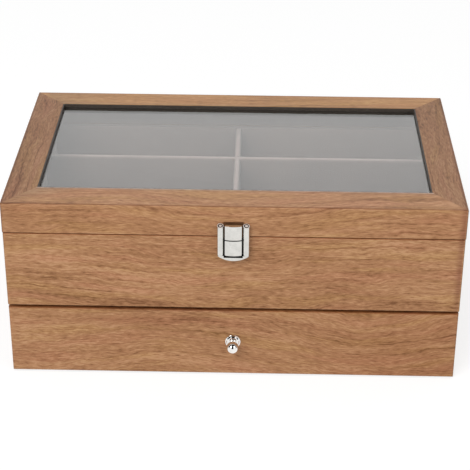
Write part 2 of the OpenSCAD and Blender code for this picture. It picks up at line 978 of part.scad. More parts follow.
// Drawer
module drawer_front() {
  w = case_w - 2 * front_inset;
  color(walnut)
    difference() {
      intersection() {
        translate([-w / 2, front_y, ground_gap])
          rotate([90, 0, 90])
            linear_extrude(w) panel_section(drawer_front_t, drawer_front_h);
        translate([0, 0, ground_gap])
          linear_extrude(drawer_front_h) rounded_rect(w, case_d, corner_r);
      }
      knob_screw_room();
    }
}

// The drawer's bottom panel, or with a clearance the groove that it lies in.
module bottom_sheet(fit) {
  w = drawer_in_w + 2 * bottom_groove - 2 * seat_fit + 2 * fit;
  d = drawer_in_d + 2 * bottom_groove - 2 * seat_fit + 2 * fit;
  translate([0, drawer_mid_y, bottom_z])
    linear_extrude(drawer_bottom_t)
      square([w, d], center = true);
}

module drawer_inner_front() {
  color(walnut_dark)
    difference() {
      block(
        [-drawer_in_w / 2, drawer_in_w / 2],
        [drawer_y0, drawer_y0 + drawer_wall_t],
        [drawer_low, drawer_high]
      );
      bottom_sheet(seat_fit);
      knob_screw_room();
    }
}

module drawer_back() {
  color(walnut_dark)
    difference() {
      block(
        [-drawer_in_w / 2, drawer_in_w / 2],
        [drawer_y1 - drawer_wall_t, drawer_y1],
        [drawer_low, drawer_high]
      );
      bottom_sheet(seat_fit);
    }
}

module drawer_side(mirrored) {
  color(walnut_dark)
    mirror([mirrored, 0, 0])
      difference() {
        block(
          [drawer_in_w / 2, drawer_w / 2],
          [drawer_y0, drawer_y1],
          [drawer_low, drawer_high]
        );
        bottom_sheet(seat_fit);
      }
}

module drawer_left_side() {
  drawer_side(1);
}

module drawer_right_side() {
  drawer_side(0);
}

module drawer_bottom() {
  color(walnut_dark) bottom_sheet(0);
}

module drawer_floor_lining() {
  color(velvet) floor_sheet(drawer_in_w, drawer_in_d, drawer_mid_y, drawer_floor_low, drawer_floor_z);
}

module drawer_lining(turn) {
  color(velvet)
    wall_board(
      drawer_in_w, drawer_in_d, drawer_mid_y, drawer_lining_t,
      drawer_floor_z, drawer_lining_top, turn
    );
}

module drawer_front_lining() {
  drawer_lining(to_front);
}

module drawer_back_lining() {
  drawer_lining(to_back);
}

module drawer_left_lining() {
  drawer_lining(to_left);
}

module drawer_right_lining() {
  drawer_lining(to_right);
}

module drawer_long_divider(y) {
  color(velvet)
    long_divider(
      drawer_cells_w, y, drawer_divider_t,
      drawer_floor_z, drawer_high - drawer_divider_drop
    );
}

module drawer_front_divider() {
  drawer_long_divider(drawer_row_y[0]);
}

module drawer_rear_divider() {
  drawer_long_divider(drawer_row_y[1]);
}

module drawer_cross_divider() {
  color(velvet)
    short_divider(
      drawer_cells_d, drawer_mid_y, drawer_divider_t,
      drawer_floor_z, drawer_high - drawer_divider_drop, drawer_row_y
    );
}

// Knob: a stepped rosette, neck and ball turned in one, drilled from behind for its screw.
module knob_section() {
  difference() {
    intersection() {
      square([rosette_d, ball_reach + ball_d / 2 - tip_flat]);
      union() {
        polygon([
          [0, 0], [rosette_r, 0], [rosette_r, rosette_rim], [slope_r, rosette_rim],
          [middle_r, middle_h], [0, middle_h],
        ]);
        square([neck_d / 2, ball_reach]);
        translate([0, ball_reach]) circle(d = ball_d);
      }
    }
    translate([-cut_over, -cut_over]) square([knob_screw_r + run_fit + cut_over, knob_bore + cut_over]);
  }
}

module knob_frame() {
  translate([0, front_y, knob_z]) rotate([90, 0, 0]) children();
}

module drawer_knob() {
  color(metal) knob_frame() rotate_extrude() knob_section();
}

// The screw that holds the knob, its head sunk in the drawer's inner front.
module knob_screw() {
  color(metal)
    translate([0, knob_seat_y, knob_z]) {
      rotate([-90, 0, 0]) cylinder(r = knob_screw_head_r, h = knob_screw_head_h);
      rotate([90, 0, 0]) cylinder(r = knob_screw_r, h = knob_seat_y - front_y + knob_screw_bite);
    }
}

// The holes that the knob's screw needs in the wood.
module knob_screw_room() {
  translate([0, knob_seat_y, knob_z]) {
    rotate([-90, 0, 0]) cylinder(r = knob_screw_head_r + seat_fit, h = drawer_wall_t);
    rotate([90, 0, 0]) cylinder(r = knob_screw_r + run_fit, h = knob_seat_y - front_y + cut_over);
  }
}

left_side();
right_side();
back_panel();
front_panel();
shelf();
base_panel();
base_felt();
floor_lining();
front_lining();
back_lining();
left_lining();
right_lining();
front_divider();
rear_divider();
cross_divider();
left_hinge_case_leaf();
right_hinge_case_leaf();
hinge_pins();
case_hinge_screws();
latch_base();
latch_spring();
lid_front_rail();
lid_back_rail();
lid_left_rail();
lid_right_rail();
window_edging();
lid_glass();
front_bead();
back_bead();
left_bead();
right_bead();
left_hinge_lid_leaf();
right_hinge_lid_leaf();
lid_hinge_screws();
latch_catch();
drawer_front();
drawer_inner_front();
drawer_left_side();
drawer_right_side();
drawer_back();
drawer_bottom();
drawer_floor_lining();
drawer_front_lining();
drawer_back_lining();
drawer_left_lining();
drawer_right_lining();
drawer_front_divider();
drawer_rear_divider();
drawer_cross_divider();
drawer_knob();
knob_screw();
latch_button();
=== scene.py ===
# Looks of the eyeglasses storage box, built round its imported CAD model.
# Metres, +Z up, the front towards -Y, in the same frame as the CAD.
import math

import bmesh
import bpy
from mathutils import Matrix, Vector


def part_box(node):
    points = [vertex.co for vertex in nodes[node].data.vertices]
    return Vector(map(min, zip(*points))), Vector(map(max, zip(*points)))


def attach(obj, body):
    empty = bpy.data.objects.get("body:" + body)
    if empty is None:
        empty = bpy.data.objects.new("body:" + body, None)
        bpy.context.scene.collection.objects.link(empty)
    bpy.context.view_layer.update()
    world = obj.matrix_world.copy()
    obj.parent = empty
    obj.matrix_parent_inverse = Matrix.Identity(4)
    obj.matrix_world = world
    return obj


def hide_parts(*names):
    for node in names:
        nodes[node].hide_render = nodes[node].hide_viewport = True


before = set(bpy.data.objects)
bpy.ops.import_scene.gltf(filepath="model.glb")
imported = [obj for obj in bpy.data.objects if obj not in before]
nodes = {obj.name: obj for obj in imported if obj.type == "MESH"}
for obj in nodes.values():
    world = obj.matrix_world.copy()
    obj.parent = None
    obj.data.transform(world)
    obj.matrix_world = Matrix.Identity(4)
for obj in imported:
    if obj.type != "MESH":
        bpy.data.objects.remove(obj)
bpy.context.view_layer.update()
scene = bpy.context.scene
scene.view_settings.view_transform = "Standard"
mm = 0.001


# Case walls: four boards mitred at the corners and glued round the base and the shelf. Each is
# faced with its own sheet of straight-grained walnut veneer, grain along the board, and sprayed
# with a thin satin lacquer.
def new_group(name, takes, gives):
    """A shader node group with its input and output nodes."""
    group = bpy.data.node_groups.new(name, "ShaderNodeTree")
    for label, kind, value in takes:
        socket = group.interface.new_socket(label, in_out="INPUT", socket_type=kind)
        socket.default_value = value
    for label, kind in gives:
        group.interface.new_socket(label, in_out="OUTPUT", socket_type=kind)
    return group, group.nodes.new("NodeGroupInput"), group.nodes.new("NodeGroupOutput")


def put_node(tree, kind, values, **settings):
    """A new node. The values go on its inputs by name, as numbers or as links."""
    node = tree.nodes.new(kind)
    for name, value in settings.items():
        setattr(node, name, value)
    for name, value in values.items():
        if isinstance(value, bpy.types.NodeSocket):
            tree.links.new(value, node.inputs[name])
        else:
            node.inputs[name].default_value = value
    return node


def sum_of(tree, operation, *terms):
    """The result of a Math node on numbers or sockets."""
    values = dict(enumerate(terms))
    return put_node(tree, "ShaderNodeMath", values, operation=operation).outputs[0]


def noise(tree, vector, scale, detail=3.0, roughness=0.5, shift=(0, 0, 0)):
    """Noise on a stretched vector, so many features to the metre along each axis."""
    stretched = put_node(tree, "ShaderNodeMapping", {"Vector": vector, "Scale": scale, "Location": shift})
    values = {"Vector": stretched.outputs[0], "Scale": 1.0, "Detail": detail, "Roughness": roughness}
    return put_node(tree, "ShaderNodeTexNoise", values).outputs[0]


def ramp(tree, value, stops):
    """A colour ramp through stops of (position, colour)."""
    node = put_node(tree, "ShaderNodeValToRGB", {"Fac": value})
    node.color_ramp.interpolation = "EASE"
    while len(node.color_ramp.elements) < len(stops):
        node.color_ramp.elements.new(1.0)
    for element, (at, colour) in zip(node.color_ramp.elements, stops):
        element.position = at
        element.color = (*colour, 1.0)
    return node.outputs["Color"]


def grey(level):
    return (level, level, level)


def mixed(tree, blend, share, a, b):
    """Two colours blended by a share."""
    node = tree.nodes.new("ShaderNodeMix")
    node.data_type = "RGBA"
    node.blend_type = blend
    for socket, value in ((node.inputs[0], share), (node.inputs[6], a), (node.inputs[7], b)):
        if isinstance(value, bpy.types.NodeSocket):
            tree.links.new(value, socket)
        elif socket == node.inputs[0]:
            socket.default_value = value
        else:
            socket.default_value = (*value, 1.0)
    return node.outputs[2]


grain, given, put = new_group(
    "veneer_grain",
    [("Vector", "NodeSocketVector", (0, 0, 0)), ("Sheet", "NodeSocketFloat", 0.0),
     ("Dip", "NodeSocketFloat", 0.0)],
    [("Color", "NodeSocketColor"), ("Roughness", "NodeSocketFloat"), ("Height", "NodeSocketFloat")],
)
axes = put_node(grain, "ShaderNodeSeparateXYZ", {"Vector": given.outputs["Vector"]}).outputs
sheet_x = sum_of(grain, "ADD", axes["X"], given.outputs["Sheet"])
spot = put_node(grain, "ShaderNodeCombineXYZ", {"X": sheet_x, "Y": axes["Y"], "Z": axes["Z"]}).outputs[0]
# The grain runs along X and sways as it goes. A dip draws its lines down round the middle.
slow_h, quick_h = 24 * mm, 6 * mm
dip_fall, depth_share = -240.0, 0.85
slow_sway = sum_of(grain, "MULTIPLY_ADD", noise(grain, spot, (6, 14, 14), 2), slow_h, -slow_h / 2)
quick_sway = sum_of(grain, "MULTIPLY_ADD", noise(grain, spot, (38, 70, 70), 2), quick_h, -quick_h / 2)
off_middle = sum_of(grain, "MULTIPLY", axes["X"], axes["X"])
bell = sum_of(grain, "EXPONENT", sum_of(grain, "MULTIPLY", off_middle, dip_fall))
level = sum_of(grain, "MULTIPLY_ADD", axes["Y"], depth_share, axes["Z"])
level = sum_of(grain, "MULTIPLY_ADD", bell, given.outputs["Dip"], level)
cross = sum_of(grain, "ADD", level, sum_of(grain, "ADD", slow_sway, quick_sway))
along = put_node(grain, "ShaderNodeCombineXYZ", {"X": sheet_x, "Y": cross}).outputs[0]
# Growth lines: thin and dark, unevenly spaced, fading in and out.
lines_per_metre, unevenness = 95.0, 3.2
spacing = put_node(grain, "ShaderNodeCombineXYZ", {"X": cross, "Y": given.outputs["Sheet"]}).outputs[0]
uneven = sum_of(grain, "MULTIPLY", noise(grain, spacing, (70, 1, 1), 2), unevenness)
ring = sum_of(grain, "FRACT", sum_of(grain, "MULTIPLY_ADD", cross, lines_per_metre, uneven))
line = ramp(grain, ring, [
    (0.0, grey(0.3)),
    (0.08, grey(0.0)),
    (0.70, grey(0.0)),
    (0.93, grey(1.0)),
    (1.0, grey(0.4)),
])
patchy = noise(grain, along, (9, 40, 1), 2, 0.5, (9.0, 0, 0))
fading = ramp(grain, patchy, [(0.42, grey(0.05)), (0.64, grey(1.0))])
line = sum_of(grain, "MULTIPLY", line, fading)
# Streaks and flecks: the cut fibres, from broad bands down to dashes about a centimetre long.
broad = noise(grain, along, (6, 45, 1), 3, 0.5)
streak = noise(grain, along, (34, 330, 1), 3, 0.55, (3.1, 0, 0))
fleck = noise(grain, along, (170, 1000, 1), 3, 0.6, (7.7, 0, 0))
fibre = noise(grain, along, (90, 2600, 1), 2, 0.6, (2.2, 0, 0))
tone = -0.12
for pattern, weight in ((line, -0.16), (broad, 0.36), (streak, 0.46), (fleck, 0.78)):
    tone = sum_of(grain, "MULTIPLY_ADD", pattern, weight, tone)
wood = ramp(grain, tone, [
    (0.44, (0.212, 0.093, 0.041)),
    (0.57, (0.326, 0.158, 0.074)),
    (0.67, (0.409, 0.207, 0.101)),
    (0.82, (0.518, 0.290, 0.153)),
])
hue = ramp(grain, noise(grain, along, (12, 110, 1), 3, 0.5, (5.0, 2.0, 0)), [
    (0.34, (1.00, 0.94, 0.97)),
    (0.50, (1.00, 1.00, 1.00)),
    (0.66, (1.00, 1.03, 0.93)),
])
wood = mixed(grain, "MULTIPLY", 1.0, wood, hue)
pores = ramp(grain, fleck, [(0.26, grey(1.0)), (0.38, grey(0.0))])
pore_brown, pore_share = (0.150, 0.062, 0.028), 0.5
wood = mixed(grain, "MIX", sum_of(grain, "MULTIPLY", pores, pore_share), wood, pore_brown)
dull_base, dull_spread = 0.34, 0.24
dull = sum_of(grain, "MULTIPLY_ADD", fleck, dull_spread, dull_base)
fibre_relief, fleck_relief = 0.4, 0.6
relief = sum_of(grain, "MULTIPLY_ADD", fibre, fibre_relief, sum_of(grain, "MULTIPLY", fleck, fleck_relief))
for value, label in ((wood, "Color"), (dull, "Roughness"), (relief, "Height")):
    grain.links.new(value, put.inputs[label])

# A band beside an edge takes a tint, but not the line of the edge itself: stains and dark joints, and also
# painted shade and painted highlights.
edge_stain_and_light, given, put = new_group(
    "edge_stain_and_light",
    [("Vector", "NodeSocketVector", (0, 0, 0)), ("Color", "NodeSocketColor", (1, 1, 1, 1)),
     ("Across", "NodeSocketVector", (0, 0, 1)), ("Edge", "NodeSocketFloat", 0.0),
     ("Width", "NodeSocketFloat", 0.005), ("Tint", "NodeSocketColor", (1, 1, 1, 1))],
    [("Color", "NodeSocketColor")],
)
untinted_share, full_share = 0.06, 0.16
reach = put_node(
    edge_stain_and_light, "ShaderNodeVectorMath", {0: given.outputs["Vector"], 1: given.outputs["Across"]},
    operation="DOT_PRODUCT",
).outputs["Value"]
gap = sum_of(edge_stain_and_light, "ABSOLUTE", sum_of(edge_stain_and_light, "SUBTRACT", reach, given.outputs["Edge"]))
share = ramp(
    edge_stain_and_light, sum_of(edge_stain_and_light, "DIVIDE", gap, given.outputs["Width"]),
    [(untinted_share, grey(0.0)), (full_share, grey(1.0)), (1.0, grey(0.0))],
)
tinted = mixed(edge_stain_and_light, "MULTIPLY", share, given.outputs["Color"], given.outputs["Tint"])
edge_stain_and_light.links.new(tinted, put.inputs["Color"])


# The hidden inner faces of a frame are stained dark: what lies within its half sizes and below
# its top.
inside_stain, given, put = new_group(
    "inside_stain",
    [("Vector", "NodeSocketVector", (0, 0, 0)), ("Color", "NodeSocketColor", (1, 1, 1, 1)),
     ("Half X", "NodeSocketFloat", 0.0), ("Half Y", "NodeSocketFloat", 0.0),
     ("Top", "NodeSocketFloat", 0.0), ("Stain", "NodeSocketColor", (0, 0, 0, 1))],
    [("Color", "NodeSocketColor")],
)
axes = put_node(inside_stain, "ShaderNodeSeparateXYZ", {"Vector": given.outputs["Vector"]}).outputs
share = sum_of(inside_stain, "LESS_THAN", axes["Z"], given.outputs["Top"])
for axis in ("X", "Y"):
    off_axis = sum_of(inside_stain, "ABSOLUTE", axes[axis])
    within = sum_of(inside_stain, "LESS_THAN", off_axis, given.outputs["Half " + axis])
    share = sum_of(inside_stain, "MULTIPLY", share, within)
darkened = mixed(inside_stain, "MIX", share, given.outputs["Color"], given.outputs["Stain"])
inside_stain.links.new(darkened, put.inputs["Color"])


def new_material(name):
    """A material with its tree and its Principled shader."""
    material = bpy.data.materials.new(name)
    material.use_nodes = True
    return material, material.node_tree, material.node_tree.nodes["Principled BSDF"]


def grouped(tree, group, values):
    """A node group placed in a material, with its own values."""
    return put_node(tree, "ShaderNodeGroup", values, node_tree=group).outputs


def with_edge(tree, coordinates, colour, edge):
    """A colour with a band along an edge tinted, for stains, joints, painted shade and painted highlights:
    the axis across it, its place, the band's width and tint.
    """
    axis, at, width, tint = edge
    values = {"Vector": coordinates, "Color": colour, "Across": axis, "Edge": at, "Width": width}
    return grouped(tree, edge_stain_and_light, {**values, "Tint": (*tint, 1)})["Color"]


def set_place(tree, turn, shift):
    """Object coordinates, turned about Z so that a board's length is X, and shifted."""
    coordinates = tree.nodes.new("ShaderNodeTexCoord").outputs["Object"]
    values = {"Vector": coordinates, "Rotation": (0, 0, turn), "Location": shift}
    return put_node(tree, "ShaderNodeMapping", values).outputs[0]


def bumped(tree, shader, height, strength, depth):
    """A bump from a height, on the shader's normal."""
    node = put_node(tree, "ShaderNodeBump", {"Height": height, "Strength": strength, "Distance": depth})
    tree.links.new(node.outputs[0], shader.inputs["Normal"])


mean_wood = (0.402, 0.203, 0.099)
wood_gloss, lacquer_coat, lacquer_dull = 0.12, 0.02, 0.25
open_grain, open_grain_depth = 0.2, 0.1 * mm


def veneer(name, turn, shift, sheet, tone=(1.0, 1.0, 1.0), dip=0.0, calm=0.0, edges=(), inside=None):
    """Lacquered veneer from its own sheet, shifted to its figure's middle, toned, with edge bands of
    stain, joints, painted shade and painted highlights.
    """
    material, tree, shader = new_material(name)
    surface = grouped(tree, grain, {"Vector": set_place(tree, turn, shift), "Sheet": sheet, "Dip": dip})
    calmed = mixed(tree, "MIX", calm, surface["Color"], mean_wood)
    colour = mixed(tree, "MULTIPLY", 1.0, calmed, tone)
    coordinates = tree.nodes.new("ShaderNodeTexCoord").outputs["Object"]
    for edge in edges:
        colour = with_edge(tree, coordinates, colour, edge)
    if inside:
        colour = grouped(tree, inside_stain, {"Vector": coordinates, "Color": colour, **inside})["Color"]
    tree.links.new(colour, shader.inputs["Base Color"])
    tree.links.new(surface["Roughness"], shader.inputs["Roughness"])
    shader.inputs["Specular IOR Level"].default_value = wood_gloss
    shader.inputs["Coat Weight"].default_value = lacquer_coat
    shader.inputs["Coat Roughness"].default_value = lacquer_dull
    bumped(tree, shader, surface["Height"], open_grain, open_grain_depth)
    return material


def dress(node, material):
    """Gives a CAD node its material."""
    nodes[node].data.materials.clear()
    nodes[node].data.materials.append(material)


across, lengthways = 0.0, -math.pi / 2
across_x, across_y, across_z = (1, 0, 0), (0, 1, 0), (0, 0, 1)
# A board's right end is painted darker: painted shade, as the light falls from the left.
end_w, end_shade_tint = 7 * mm, (0.72, 0.64, 0.68)


def shaded_right_end(node):
    """The painted shade on a board's right end, where less light falls."""
    return (across_x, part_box(node)[1].x, end_w, end_shade_tint)


past_edge = 0.3 * mm
# The front panel's top edge, in the seam under the lid, is painted darker: painted shade.
panel_top_shade = (across_z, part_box("front_panel")[1].z + past_edge, 1.0 * mm, (0.75, 0.50, 0.38))
panel_edges = [shaded_right_end("front_panel"), panel_top_shade]
past_lining = 0.9 * mm
above_all = 1.0
inside_brown = (0.17, 0.125, 0.105, 1)
case_inside = {
    "Half X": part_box("right_lining")[1].x + past_lining,
    "Half Y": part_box("back_lining")[1].y + past_lining,
    "Top": above_all,
    "Stain": inside_brown,
}
dress("front_panel", veneer(
    "veneer_front_panel", across, (0.0, 0, -0.08), 0.7, dip=0.006, edges=panel_edges, inside=case_inside,
))
dress("back_panel", veneer("veneer_back_panel", across, (0.03, 0, -0.085), 2.1, inside=case_inside))
side_tone = (0.82, 0.83, 0.85)
for node, figure_z, sheet in (("left_side", -0.06, 3.3), ("right_side", -0.10, 4.7)):
    dress(node, veneer(
        "veneer_" + node, lengthways, (0, 0, figure_z), sheet, side_tone, inside=case_inside,
    ))


# Shelf and base: thin stained boards. The shelf slides into grooves in the walls, and the base
# is glued between the sides and the back, flush with their lower edges.
board_stain, board_dull = (0.72, 0.68, 0.66), 0.62
sanded_grain, sanded_depth = 0.3, 0.15 * mm


def stained(name, turn, sheet):
    """The same wood, stained darker and left matt."""
    material, tree, shader = new_material(name)
    surface = grouped(tree, grain, {"Vector": set_place(tree, turn, (0, 0, 0)), "Sheet": sheet})
    stain = mixed(tree, "MULTIPLY", 1.0, surface["Color"], board_stain)
    tree.links.new(stain, shader.inputs["Base Color"])
    shader.inputs["Roughness"].default_value = board_dull
    bumped(tree, shader, surface["Height"], sanded_grain, sanded_depth)
    return material


dress("shelf", stained("stained_shelf", across, 5.2))
dress("base_panel", stained("stained_base", across, 6.6))


# Underside: one sheet of black felt, cut a little smaller than the base and glued to it, so that
# the box doesn't mark the table. Its cut edge is slightly fuzzy.
def pick(piece):
    """Makes a piece the only selected one."""
    bpy.ops.object.select_all(action="DESELECT")
    piece.select_set(True)
    bpy.context.view_layer.objects.active = piece


def grid(name, columns, rows):
    """A new flat grid, one unit wide and deep, round the origin."""
    bpy.ops.object.select_all(action="DESELECT")
    bpy.ops.mesh.primitive_grid_add(x_subdivisions=columns, y_subdivisions=rows, size=1.0)
    piece = bpy.context.object
    piece.name = name
    piece.data.name = name
    return piece


def in_edit(piece):
    pick(piece)
    bpy.ops.object.mode_set(mode="EDIT")
    bpy.ops.mesh.select_mode(type="VERT")
    bpy.ops.mesh.select_all(action="SELECT")


def out_of_edit():
    bpy.ops.object.mode_set(mode="OBJECT")


def settle(piece, body, slot, material, *stands_for):
    """Gives a finished piece its material and body, and hides the CAD nodes that it stands for. Its slot
    is not used.
    """
    piece.data.materials.clear()
    piece.data.materials.append(material)
    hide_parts(*stands_for)
    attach(piece, body)


low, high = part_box("base_felt")
felt_columns, felt_rows = 82, 46
fuzz_h, fuzz_x, fuzz_y = 0.15 * mm, 4100, 3700
edge_at = 0.499
felt = grid("felt_sheet", felt_columns, felt_rows)
for corner in felt.data.vertices:
    fuzz = fuzz_h * math.sin(fuzz_x * corner.co.x) * math.cos(fuzz_y * corner.co.y)
    if max(abs(corner.co.x), abs(corner.co.y)) <= edge_at:
        fuzz = 0
    corner.co.x = (low.x + high.x) / 2 + corner.co.x * (high.x - low.x) + fuzz
    corner.co.y = (low.y + high.y) / 2 + corner.co.y * (high.y - low.y) + fuzz
    corner.co.z = high.z
in_edit(felt)
bpy.ops.mesh.extrude_region_move(TRANSFORM_OT_translate={"value": (0, 0, low.z - high.z)})
bpy.ops.mesh.select_all(action="SELECT")
bpy.ops.mesh.normals_make_consistent(inside=False)
out_of_edit()

pile, given, put = new_group(
    "cloth_pile",
    [("Vector", "NodeSocketVector", (0, 0, 0)), ("Deep", "NodeSocketColor", (0, 0, 0, 1)),
     ("Light", "NodeSocketColor", (1, 1, 1, 1)), ("Tufts", "NodeSocketFloat", 900.0)],
    [("Color", "NodeSocketColor"), ("Height", "NodeSocketFloat")],
)
place = given.outputs["Vector"]
nap = noise(pile, place, (28, 28, 28), 3)
brushed = noise(pile, place, (140, 140, 140), 3, 0.6, (2.0, 0, 0))
tufts = put_node(
    pile, "ShaderNodeTexNoise",
    {"Vector": place, "Scale": given.outputs["Tufts"], "Detail": 3.0, "Roughness": 0.65},
).outputs[0]
lift = 0.0
for pattern, weight in ((brushed, 0.25), (nap, 0.3), (tufts, 0.55)):
    lift = sum_of(pile, "MULTIPLY_ADD", pattern, weight, lift)
share = ramp(pile, lift, [(0.38, grey(0.0)), (0.72, grey(1.0))])
mottled = mixed(pile, "MIX", share, given.outputs["Deep"], given.outputs["Light"])
pile.links.new(mottled, put.inputs["Color"])
pile.links.new(tufts, put.inputs["Height"])
cloth_dull, cloth_gloss, sheen_dull = 0.95, 0.15, 0.45
pile_bump, pile_depth = 0.6, 0.35 * mm


def cloth(name, deep, light, tufts_per_metre, sheen, sheen_tint, ridge_sheen=None):
    """Short-pile cloth: mottled by its nap, matt, with a soft sheen at a low angle and a paler painted
    sheen along a ridge.
    """
    material, tree, shader = new_material(name)
    coordinates = tree.nodes.new("ShaderNodeTexCoord").outputs["Object"]
    values = {"Vector": coordinates, "Deep": (*deep, 1), "Light": (*light, 1), "Tufts": tufts_per_metre}
    surface = grouped(tree, pile, values)
    colour = surface["Color"]
    if ridge_sheen:
        colour = with_edge(tree, coordinates, colour, ridge_sheen)
    tree.links.new(colour, shader.inputs["Base Color"])
    shader.inputs["Roughness"].default_value = cloth_dull
    shader.inputs["Specular IOR Level"].default_value = cloth_gloss
    shader.inputs["Sheen Weight"].default_value = sheen
    shader.inputs["Sheen Roughness"].default_value = sheen_dull
    shader.inputs["Sheen Tint"].default_value = (*sheen_tint, 1)
    bumped(tree, shader, surface["Height"], pile_bump, pile_depth)
    return material


felt_deep, felt_light = (0.010, 0.009, 0.009), (0.045, 0.041, 0.038)
felt_tufts, felt_sheen, felt_sheen_tint = 700.0, 0.15, (0.5, 0.5, 0.5)
black_felt = cloth("black_felt", felt_deep, felt_light, felt_tufts, felt_sheen, felt_sheen_tint)
settle(felt, "case", "felt", black_felt, "base_felt")


# Linings of the upper cells: thin card padded with a film of foam and wrapped in short-pile
# velvet, a pinkish beige. The floor is laid first, the walls stand on it, and both are drawn in
# where a divider presses on them.
def lined_panel(name, node, facing, presses, half_press, sink):
    """A padded board that faces along an axis, full between its edges and the lines that press it."""
    low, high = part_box(node)
    axis = "xyz".index(facing[1])
    flat_axes = [a for a in range(3) if a != axis]
    outward = facing[0] == "+"
    front, back = (high[axis], low[axis]) if outward else (low[axis], high[axis])
    roll, step = 5 * mm, 2 * mm
    counts = [round((high[a] - low[a]) / step) for a in flat_axes]
    piece = grid(name, *counts)
    for corner in piece.data.vertices:
        at = list(corner.co)
        for unit, a in zip(at, flat_axes):
            corner.co[a] = low[a] + (unit + 0.5) * (high[a] - low[a])
        corner.co[axis] = back
    in_edit(piece)
    bpy.ops.mesh.extrude_region_move()
    shape = bmesh.from_edit_mesh(piece.data)
    for corner in (v for v in shape.verts if v.select):
        clear = []
        for a in flat_axes:
            clear += [corner.co[a] - low[a], high[a] - corner.co[a]]
            clear += [abs(corner.co[a] - line) - half_press for line in presses.get(a, [])]
        rise = min(max(min(clear) / roll, 0.0), 1.0)
        fullness = math.sqrt(1 - (1 - rise) ** 2)
        corner.co[axis] = front + (back - front) * sink * (1 - fullness)
    bmesh.update_edit_mesh(piece.data)
    bpy.ops.mesh.select_all(action="SELECT")
    bpy.ops.mesh.normals_make_consistent(inside=False)
    out_of_edit()
    pick(piece)
    bpy.ops.object.shade_smooth_by_angle(angle=math.radians(40))
    return piece


velvet_deep, velvet_light = (0.145, 0.103, 0.087), (0.205, 0.147, 0.125)
velvet_tufts, velvet_sheen, velvet_sheen_tint = 1100.0, 0.35, (0.90, 0.80, 0.75)
velvet = cloth("taupe_velvet", velvet_deep, velvet_light, velvet_tufts, velvet_sheen, velvet_sheen_tint)
lining_sink = 0.35


def middle(node):
    low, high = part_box(node)
    return (low + high) / 2


def line_cells(prefix, body):
    """The five linings of a layer of cells, drawn in where its three dividers press on them."""
    rows = [middle(f"{prefix}front_divider").y, middle(f"{prefix}rear_divider").y]
    column = [middle(f"{prefix}cross_divider").x]
    low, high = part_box(f"{prefix}cross_divider")
    half = (high.x - low.x) / 2
    for node, facing, presses in (
        ("floor_lining", "+z", {0: column, 1: rows}),
        ("front_lining", "+y", {0: column}),
        ("back_lining", "-y", {0: column}),
        ("left_lining", "+x", {1: rows}),
        ("right_lining", "-x", {1: rows}),
    ):
        panel = lined_panel(f"{prefix}{node}_velvet", prefix + node, facing, presses, half, lining_sink)
        settle(panel, body, "velvet", velvet, prefix + node)


line_cells("", "case")


# Dividers of the upper cells: three strips of card wrapped in the same velvet over a rounded top
# edge, halved together where they cross, and standing loose on the floor lining.
def edges_where(piece, test):
    """Selects only the edges whose two ends pass a test, in edit mode."""
    bpy.ops.mesh.select_mode(type="EDGE")
    shape = bmesh.from_edit_mesh(piece.data)
    for edge in shape.edges:
        edge.select_set(all(test(v.co) for v in edge.verts))
    shape.select_flush_mode()
    bmesh.update_edit_mesh(piece.data)


def new_block(name, low, high):
    """A block between two corners."""
    bpy.ops.object.select_all(action="DESELECT")
    bpy.ops.mesh.primitive_cube_add(size=1.0)
    piece = bpy.context.object
    piece.name = name
    piece.data.name = name
    for corner in piece.data.vertices:
        for a in range(3):
            corner.co[a] = low[a] + (corner.co[a] + 0.5) * (high[a] - low[a])
    return piece


def apply_to(piece, kind, **settings):
    """Adds a modifier and applies it."""
    pick(piece)
    modifier = piece.modifiers.new(kind.lower(), kind)
    for name, value in settings.items():
        setattr(modifier, name, value)
    bpy.ops.object.modifier_apply(modifier=modifier.name)


def cut_away(piece, low, high):
    """Cuts a block out of a piece."""
    waste = new_block("waste", low, high)
    apply_to(piece, "BOOLEAN", operation="DIFFERENCE", solver="EXACT", object=waste)
    bpy.data.objects.remove(waste)


def wrapped_strip(name, node, run, crossings, from_below):
    """A wrapped strip along an axis, notched to half its height at each crossing."""
    bedding, round_share, slack, clear, corner_r = 0.35 * mm, 0.46, 0.1 * mm, 1 * mm, 0.25 * mm
    low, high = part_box(node)
    low.z -= bedding
    side = 1 - run
    thick = high[side] - low[side]
    piece = new_block(name, low, high)
    in_edit(piece)
    edges_where(piece, lambda co: co.z > high.z - 1e-5)
    bpy.ops.mesh.bevel(offset=round_share * thick, segments=7, affect="EDGES")
    out_of_edit()
    half_height = (low.z + high.z) / 2
    for at in crossings:
        notch_low, notch_high = low.copy(), high.copy()
        notch_low[run], notch_high[run] = at - thick / 2 - slack, at + thick / 2 + slack
        notch_low[side], notch_high[side] = low[side] - clear, high[side] + clear
        if from_below:
            notch_low.z, notch_high.z = low.z - clear, half_height
        else:
            notch_low.z, notch_high.z = half_height, high.z + clear
        cut_away(piece, notch_low, notch_high)
    sharp = math.radians(60)
    apply_to(piece, "BEVEL", width=corner_r, segments=2, limit_method="ANGLE", angle_limit=sharp)
    bpy.ops.object.shade_smooth_by_angle(angle=math.radians(35))
    return piece


def divide_cells(prefix, body):
    """The three dividers of a layer of cells."""
    rows = [middle(f"{prefix}front_divider").y, middle(f"{prefix}rear_divider").y]
    column = [middle(f"{prefix}cross_divider").x]
    # The top edges are painted paler: a painted sheen where the pile lies flat over them.
    ridge_w, ridge_lift, ridge_sheen_tint = 1.6 * mm, 0.35 * mm, (2.05, 2.1, 2.3)
    ridge_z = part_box(f"{prefix}cross_divider")[1].z + ridge_lift
    painted_sheen_velvet = cloth(
        f"{prefix}velvet_painted_sheen", velvet_deep, velvet_light, velvet_tufts, velvet_sheen, velvet_sheen_tint,
        (across_z, ridge_z, ridge_w, ridge_sheen_tint),
    )
    for node, run, crossings, from_below in (
        ("front_divider", 0, column, True),
        ("rear_divider", 0, column, True),
        ("cross_divider", 1, rows, False),
    ):
        strip = wrapped_strip(f"{prefix}{node}_velvet", prefix + node, run, crossings, from_below)
        settle(strip, body, "velvet", painted_sheen_velvet, prefix + node)


divide_cells("", "case")


